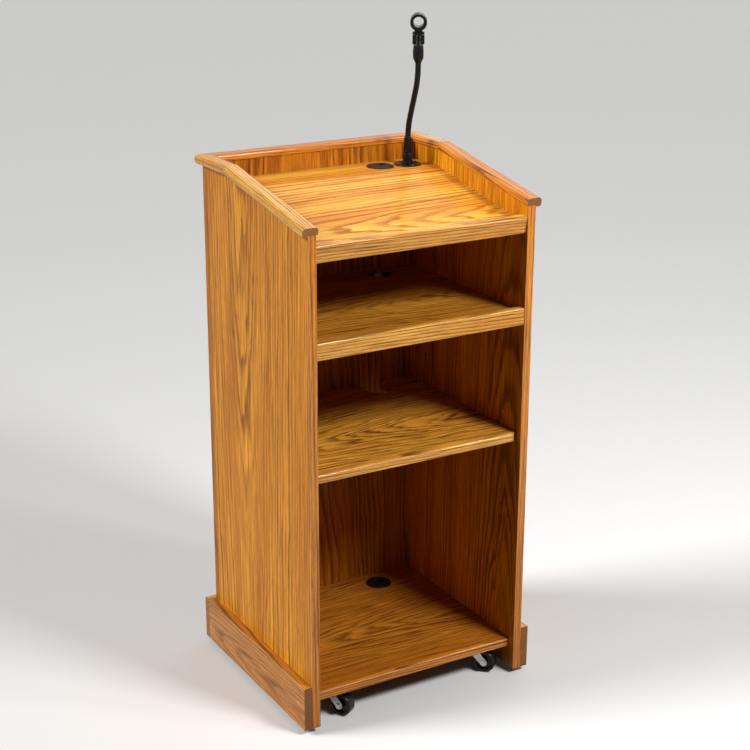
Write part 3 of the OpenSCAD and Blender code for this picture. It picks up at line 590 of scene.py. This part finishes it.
def plated_steel(name, base, roughness, spangle):
    """Plated steel with faint spangles and rubbed patches."""
    finish = Finish(name)
    spot = finish.coords["Object"]
    cells = finish.node("TexVoronoi", {"Vector": spot, "Scale": spangle}, feature="F1").outputs["Color"]
    cloud = finish.noise(spot, PATCHES, detail=4)[0]
    rubbed = tuple(PATCH_SHADE * part for part in base)
    shade = finish.mix(finish.span(cloud, 0.35, 0.7), rubbed, tuple(base))
    level = finish.node("SeparateXYZ", {0: cells}).outputs[0]
    return finish.surface(
        cloud,
        relief=0.05 * MM,
        strength=0.3,
        Base_Color=finish.mix(finish.math("MULTIPLY", level, SPANGLE_SHARE), shade, rubbed),
        Roughness=finish.span(cloud, 0.3, 0.75, roughness, roughness + 0.16),
        Metallic=1.0,
    )


def shared(make, name, *values, **settings):
    """The material of that name, made by make the first time."""
    return bpy.data.materials.get(name) or make(name, *values, **settings)


def enamel():
    """Enamel of the gooseneck, its flange and its end collar."""
    base = bpy.context.scene.lectern_hardware.enamel
    return shared(
        black_finish, "neck_black", base, roughness=0.24, grain=2600, relief=0.01 * MM, shine=0.2
    )


def clip_plastic():
    """Plastic of the microphone clip, its socket and the neck's boot."""
    base = bpy.context.scene.lectern_hardware.enamel
    return shared(
        black_finish, "clip_black", base, roughness=0.28, grain=1800, relief=0.02 * MM, shine=0.2
    )


def plastic():
    """Plastic of the cable grommets."""
    base = bpy.context.scene.lectern_hardware.plastic
    return shared(
        black_finish, "grommet_black", base, roughness=0.42, grain=1800, relief=0.03 * MM, shine=0.3
    )


def wheel_plastic():
    """Plastic of the caster wheels."""
    base = bpy.context.scene.lectern_hardware.wheel
    return shared(
        black_finish, "wheel_black", base, roughness=0.24, grain=900, relief=0.02 * MM, shine=0.3
    )


def zinc():
    """Zinc plate of the casters and shelf pins."""
    base = bpy.context.scene.lectern_hardware.zinc
    return shared(plated_steel, "zinc_plate", base, roughness=0.30, spangle=260)


def bright_steel():
    """Nickel plate of the screws, axles and bearing balls."""
    base = bpy.context.scene.lectern_hardware.bright
    return shared(plated_steel, "screw_steel", base, roughness=0.20, spangle=900)


def scene_object(name, bm, material):
    """A new object from a bmesh, smooth but for its real edges."""
    mesh = bpy.data.meshes.new(name)
    bm.to_mesh(mesh)
    bm.free()
    mesh.polygons.foreach_set("use_smooth", [True] * len(mesh.polygons))
    mesh.set_sharp_from_angle(angle=math.radians(SMOOTH_ANGLE))
    mesh.materials.append(material)
    piece = bpy.data.objects.new(name, mesh)
    bpy.context.scene.collection.objects.link(piece)
    return piece


def softened(node, edge, steepest=35.0, shortest=0.0, segments=2):
    """A copy of a CAD node with edges past steepest degrees and shortest metres rounded by edge."""
    bm = bmesh.new()
    bm.from_mesh(frame["nodes"][node].data)
    bmesh.ops.remove_doubles(bm, verts=bm.verts, dist=MERGE_GAP)
    bmesh.ops.dissolve_limit(bm, angle_limit=math.radians(FLAT_ANGLE), verts=bm.verts, edges=bm.edges)
    sharp = [
        e
        for e in bm.edges
        if len(e.link_faces) == 2
        and e.calc_face_angle(0) > math.radians(steepest)
        and e.calc_length() >= shortest
    ]
    bmesh.ops.bevel(
        bm,
        geom=sharp,
        offset=edge,
        offset_type="OFFSET",
        affect="EDGES",
        segments=segments,
        profile=0.5,
        material=-1,
        clamp_overlap=False,
    )
    return bm


def rounded_part(node, ending, edge, material, slot, **rounding):
    """A part with rounded edges and flat faces that rides with its CAD node and stands for it."""
    piece = scene_object(f"{node}_{ending}", softened(node, edge, **rounding), material)
    weighting = piece.modifiers.new("even_faces", "WEIGHTED_NORMAL")
    weighting.keep_sharp = True
    weighting.weight = 100
    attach(piece, frame["nodes"][node]["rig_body"])
    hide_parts(node)


def oak_board(node, tone, slot, shortest=0.0):
    """A board with sanded edges."""
    edge = bpy.context.scene.lectern_oak.edge
    rounded_part(node, "oak", edge, oak(node, tone), slot, shortest=shortest)


def paint(node, material):
    """A CAD node keeps its shape and gets a material."""
    for slot in frame["nodes"][node].material_slots:
        slot.material = material


class LECTERN_OT_case(bpy.types.Operator):
    """Veneered side panels and rear panel, with the solid strips on their front edges"""

    bl_idname = "lectern.case"
    bl_label = "Case"

    def execute(self, context):
        for node in ("left_side_panel", "right_side_panel"):
            oak_board(node, "panel", "veneered_oak", shortest=PANEL_SHORTEST)
        oak_board("back_panel", "panel", "veneered_oak")
        for node in ("left_front_edging", "right_front_edging"):
            oak_board(node, "solid", "solid_oak")
        return {"FINISHED"}


class LECTERN_OT_desk(bpy.types.Operator):
    """Sloped reading board, level ledge behind it and book stop across its front"""

    bl_idname = "lectern.desk"
    bl_label = "Desk"

    def execute(self, context):
        oak_board("reading_board", "desk", "desk_oak")
        oak_board("desk_ledge", "desk", "desk_oak", shortest=PANEL_SHORTEST)
        oak_board("book_stop", "solid", "solid_oak")
        return {"FINISHED"}


class LECTERN_OT_shelves(bpy.types.Operator):
    """Three shelves with their solid front edgings, and the middle shelf's pins"""

    bl_idname = "lectern.shelves"
    bl_label = "Shelves"

    def execute(self, context):
        for node in ("upper_shelf", "middle_shelf", "bottom_shelf"):
            oak_board(node, "shelf", "desk_oak", shortest=SHELF_SHORTEST)
        for node in ("upper_shelf_nosing", "middle_shelf_edging", "bottom_shelf_edging"):
            oak_board(node, "solid", "solid_oak")
        paint("shelf_pins", zinc())
        return {"FINISHED"}


class LECTERN_OT_rails(bpy.types.Operator):
    """Five mitred lengths of the cap rail"""

    bl_idname = "lectern.rails"
    bl_label = "Cap Rails"

    def execute(self, context):
        oak_board("rear_cap_rail", "solid", "solid_oak")
        for side in ("left", "right"):
            oak_board(f"{side}_level_rail", "solid", "solid_oak")
            oak_board(f"{side}_sloped_rail", "solid", "solid_oak")
        return {"FINISHED"}


class LECTERN_OT_mouldings(bpy.types.Operator):
    """Base moulding on both sides and across the rear"""

    bl_idname = "lectern.mouldings"
    bl_label = "Base Mouldings"

    def execute(self, context):
        for place in ("left", "right", "rear"):
            oak_board(f"{place}_base_moulding", "solid", "solid_oak")
        return {"FINISHED"}


class LECTERN_OT_grommets(bpy.types.Operator):
    """Cable grommets of the desk and of the bottom shelf, each a sleeve with a turning cap"""

    bl_idname = "lectern.grommets"
    bl_label = "Cable Grommets"

    def execute(self, context):
        for place in ("desk", "floor"):
            for part in ("sleeve", "cap"):
                node = f"{place}_grommet_{part}"
                rounded_part(node, "moulded", GROMMET_EDGE, plastic(), "grommet_plastic")
        return {"FINISHED"}


def neck_places():
    """The centres of the neck's bends, the directions of its links, and the height of its top."""
    joints = {joint["name"]: joint for joint in frame["joints"]}
    bends = [Vector(joints[name]["pos_m"]) for name in NECK_JOINTS]
    ways = [UP, *((b - a).normalized() for a, b in zip(bends, bends[1:])), UP]
    return bends, ways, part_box("neck_end_collar")[0].z


def bent_tube(start, way, next_way, length, radius, look):
    """An open tube from start, length long, that leaves along way and ends along next_way."""
    bm = bmesh.new()
    bmesh.ops.create_circle(bm, segments=look.neck_sides, radius=radius)
    place = Matrix.Translation(start) @ Matrix.Rotation(way.angle(UP), 4, "X")
    bmesh.ops.transform(bm, matrix=place, verts=bm.verts)
    turn = way.angle(next_way)
    if turn > STRAIGHT_ANGLE:
        sign = 1 if (next_way - way).y < 0 else -1
        bow = length / 2 / math.tan(turn / 2)
        centre = start + Vector((0, -way.z, way.y)) * sign * bow
        step = Vector((0, 0, 0))
        angle = sign * turn
    else:
        centre = start
        step = way * length / look.neck_steps
        angle = 0
    bmesh.ops.spin(
        bm,
        geom=bm.verts[:] + bm.edges[:],
        cent=centre,
        axis=(1, 0, 0),
        dvec=step,
        angle=angle,
        steps=look.neck_steps,
        use_merge=False,
        use_duplicate=False,
    )
    return bm


def lengthen(bm, height, shift):
    """Draws the open end of a tube that lies above height on by shift."""
    rim = [e for e in bm.edges if e.is_boundary and min(v.co.z for v in e.verts) > height]
    drawn = bmesh.ops.extrude_edge_only(bm, edges=rim)["geom"]
    verts = [g for g in drawn if isinstance(g, bmesh.types.BMVert)]
    bmesh.ops.translate(bm, vec=shift, verts=verts)


def close_ends(bm):
    """Closes a tube's ends, with all faces outwards."""
    bmesh.ops.holes_fill(bm, edges=[e for e in bm.edges if e.is_boundary], sides=0)
    bmesh.ops.recalc_face_normals(bm, faces=bm.faces)


def put_in_order(bm):
    """Sorts a tube by place, because spin leaves it in an order that changes from run to run."""
    bm.verts.sort(key=lambda v: v.co.dot(SORTING_WAY))
    bm.edges.sort(key=lambda e: sum(v.co.dot(SORTING_WAY) for v in e.verts))
    bm.faces.sort(key=lambda f: f.calc_center_median().dot(SORTING_WAY))
    for parts in (bm.verts, bm.edges, bm.faces):
        parts.index_update()


class LECTERN_OT_neck(bpy.types.Operator):
    """Gooseneck of six flexible lengths, its boot, flange, screws and end collar"""

    bl_idname = "lectern.neck"
    bl_label = "Gooseneck"

    def execute(self, context):
        look = context.scene.lectern_hardware
        bends, ways, top = neck_places()
        link = (bends[1] - bends[0]).length
        low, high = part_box("neck_link_1")
        radius = (high.x - low.x) / 2 + SLEEVE_THICKNESS
        for i, bend in enumerate(bends):
            start = bend - ways[i] * link / 2
            after = top - bend.z if bend is bends[-1] else link / 2
            bm = bent_tube(start, ways[i], ways[i + 1], link, radius, look)
            if after > link / 2 + MM:
                lengthen(bm, bend.z, ways[i + 1] * (after - link / 2))
            close_ends(bm)
            put_in_order(bm)
            piece = scene_object(f"neck_sleeve_{i + 1}", bm, enamel())
            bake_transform(piece)
            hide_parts(f"neck_link_{i + 1}")
        for node, ending, edge, material, slot in (
            ("neck_flange", "enamelled", FLANGE_EDGE, enamel(), "black_enamel"),
            ("neck_end_collar", "enamelled", COLLAR_EDGE, enamel(), "black_enamel"),
            ("neck_boot", "moulded", BOOT_EDGE, clip_plastic(), "clip_plastic"),
        ):
            rounded_part(node, ending, edge, material, slot, steepest=NECK_STEEPEST)
        paint("neck_root", enamel())
        paint("flange_screws", bright_steel())
        return {"FINISHED"}


class LECTERN_OT_clip(bpy.types.Operator):
    """Clip socket, microphone clip and its pivot screw"""

    bl_idname = "lectern.clip"
    bl_label = "Microphone Clip"

    def execute(self, context):
        for node in ("clip_socket", "microphone_clip"):
            rounded_part(node, "moulded", CLIP_EDGE, clip_plastic(), "clip_plastic", segments=3)
        paint("clip_pivot_screw", bright_steel())
        return {"FINISHED"}


class LECTERN_OT_casters(bpy.types.Operator):
    """Four swivel casters: plates, forks, axles, wheels, screws and balls"""

    bl_idname = "lectern.casters"
    bl_label = "Casters"

    def execute(self, context):
        for corner in CORNERS:
            rounded_part(f"{corner}_caster_fork", "plated", CASTER_EDGE, zinc(), "zinc_steel")
            wheel = f"{corner}_caster_wheel"
            rounded_part(wheel, "moulded", CASTER_EDGE, wheel_plastic(), "wheel_plastic")
            paint(f"{corner}_caster_plate", zinc())
            paint(f"{corner}_caster_axle", bright_steel())
        paint("caster_screws", bright_steel())
        paint("caster_bearing_balls", bright_steel())
        return {"FINISHED"}


def shining(name, kind, toward, power):
    """A lamp that shines from the direction toward."""
    light = bpy.data.lights.new(name, kind)
    light.energy = power
    holder = bpy.data.objects.new(name, light)
    holder.rotation_euler = Vector(toward).to_track_quat("Z", "Y").to_euler()
    bpy.context.scene.collection.objects.link(holder)
    return holder


def softbox(name, place, aim, side, power):
    """A square lamp at place that faces aim."""
    holder = shining(name, "AREA", Vector(place) - Vector(aim), power)
    holder.location = place
    holder.data.size = side


def seen(tree):
    """1 for what the camera and reflections see, 0 for the light that falls on the object."""
    rays = tree.nodes.new("ShaderNodeLightPath").outputs
    value = rays["Is Camera Ray"]
    for name in ("Is Glossy Ray", "Is Transmission Ray"):
        either = tree.nodes.new("ShaderNodeMath")
        either.operation = "MAXIMUM"
        tree.links.new(value, either.inputs[0])
        tree.links.new(rays[name], either.inputs[1])
        value = either.outputs[0]
    return value


class LECTERN_OT_stage(bpy.types.Operator):
    """Plain pale floor, soft studio light and the camera"""

    bl_idname = "lectern.stage"
    bl_label = "Stage"

    def execute(self, context):
        look = context.scene.lectern_stage
        self.lay_floor(look)
        self.light(look)
        self.surround(context.scene, look)
        self.place_camera(context.scene, look)
        context.scene.view_settings.view_transform = "Standard"
        return {"FINISHED"}

    def lay_floor(self, look):
        """A round floor, pale to the camera and darker to the pieces."""
        bm = bmesh.new()
        bmesh.ops.create_circle(bm, cap_ends=True, segments=FLOOR_SIDES, radius=look.floor_reach)
        finish = Finish("studio_floor")
        shade = finish.mix(seen(finish.tree), tuple(look.floor_bounce), tuple(look.floor))
        floor = scene_object("studio_floor", bm, finish.surface(Base_Color=shade, Roughness=0.9))

    def light(self, look):
        """Two softboxes in front and the far lamps."""
        softbox("front_softbox", *FRONT_SOFTBOX, look.front)
        softbox("edge_softbox", *EDGE_SOFTBOX, look.edge_light)
        for place, (toward, spread) in LAMPS.items():
            holder = shining(f"{place}_lamp", "SUN", toward, getattr(look, place))
            holder.data.angle = math.radians(spread)

    def surround(self, scene, look):
        """A world that is seen as a pale backdrop and gives little light."""
        world = bpy.data.worlds.new("studio")
        scene.world = world
        world.use_nodes = True
        background = world.node_tree.nodes["Background"]
        background.inputs["Color"].default_value = (1, 1, 1, 1)
        strength = world.node_tree.nodes.new("ShaderNodeMapRange")
        strength.inputs["To Min"].default_value = look.room
        strength.inputs["To Max"].default_value = look.backdrop
        world.node_tree.links.new(seen(world.node_tree), strength.inputs["Value"])
        world.node_tree.links.new(strength.outputs[0], background.inputs["Strength"])

    def place_camera(self, scene, look):
        """A camera at the viewing angle of the real lectern."""
        lens = bpy.data.cameras.new("camera")
        lens.lens = look.lens
        lens.sensor_width = FILM_WIDTH
        camera = bpy.data.objects.new("camera", lens)
        tilt = Euler((math.radians(90 + look.pitch), 0, math.radians(-look.yaw))).to_matrix()
        turn = tilt @ Matrix.Rotation(math.radians(look.roll), 3, "Z")
        camera.matrix_world = Matrix.Translation(look.camera_place) @ turn.to_4x4()
        scene.collection.objects.link(camera)
        scene.camera = camera


OPERATORS = [
    LECTERN_OT_case,
    LECTERN_OT_desk,
    LECTERN_OT_shelves,
    LECTERN_OT_rails,
    LECTERN_OT_mouldings,
    LECTERN_OT_grommets,
    LECTERN_OT_neck,
    LECTERN_OT_clip,
    LECTERN_OT_casters,
    LECTERN_OT_stage,
]


class LECTERN_PT_pieces(bpy.types.Panel):
    """The lectern's pieces and their settings"""

    bl_idname = "LECTERN_PT_pieces"
    bl_label = "Oak Lectern"
    bl_space_type = "VIEW_3D"
    bl_region_type = "UI"
    bl_category = "Lectern"

    def draw(self, context):
        for operator in OPERATORS:
            self.layout.operator(operator.bl_idname)
        scene = context.scene
        for group in (scene.lectern_oak, scene.lectern_hardware, scene.lectern_stage):
            box = self.layout.box()
            for name in group.__annotations__:
                box.prop(group, name)


CLASSES = [LecternOak, LecternHardware, LecternStage, *OPERATORS, LECTERN_PT_pieces]


def register():
    for cls in CLASSES:
        bpy.utils.register_class(cls)
    bpy.types.Scene.lectern_oak = PointerProperty(type=LecternOak)
    bpy.types.Scene.lectern_hardware = PointerProperty(type=LecternHardware)
    bpy.types.Scene.lectern_stage = PointerProperty(type=LecternStage)


def unregister():
    del bpy.types.Scene.lectern_stage
    del bpy.types.Scene.lectern_hardware
    del bpy.types.Scene.lectern_oak
    for cls in reversed(CLASSES):
        bpy.utils.unregister_class(cls)


def main():
    register()
    bpy.ops.lectern.case()
    bpy.ops.lectern.desk()
    bpy.ops.lectern.shelves()
    bpy.ops.lectern.rails()
    bpy.ops.lectern.mouldings()
    bpy.ops.lectern.grommets()
    bpy.ops.lectern.neck()
    bpy.ops.lectern.clip()
    bpy.ops.lectern.casters()
    bpy.ops.lectern.stage()


if __name__ == "__main__":
    main()
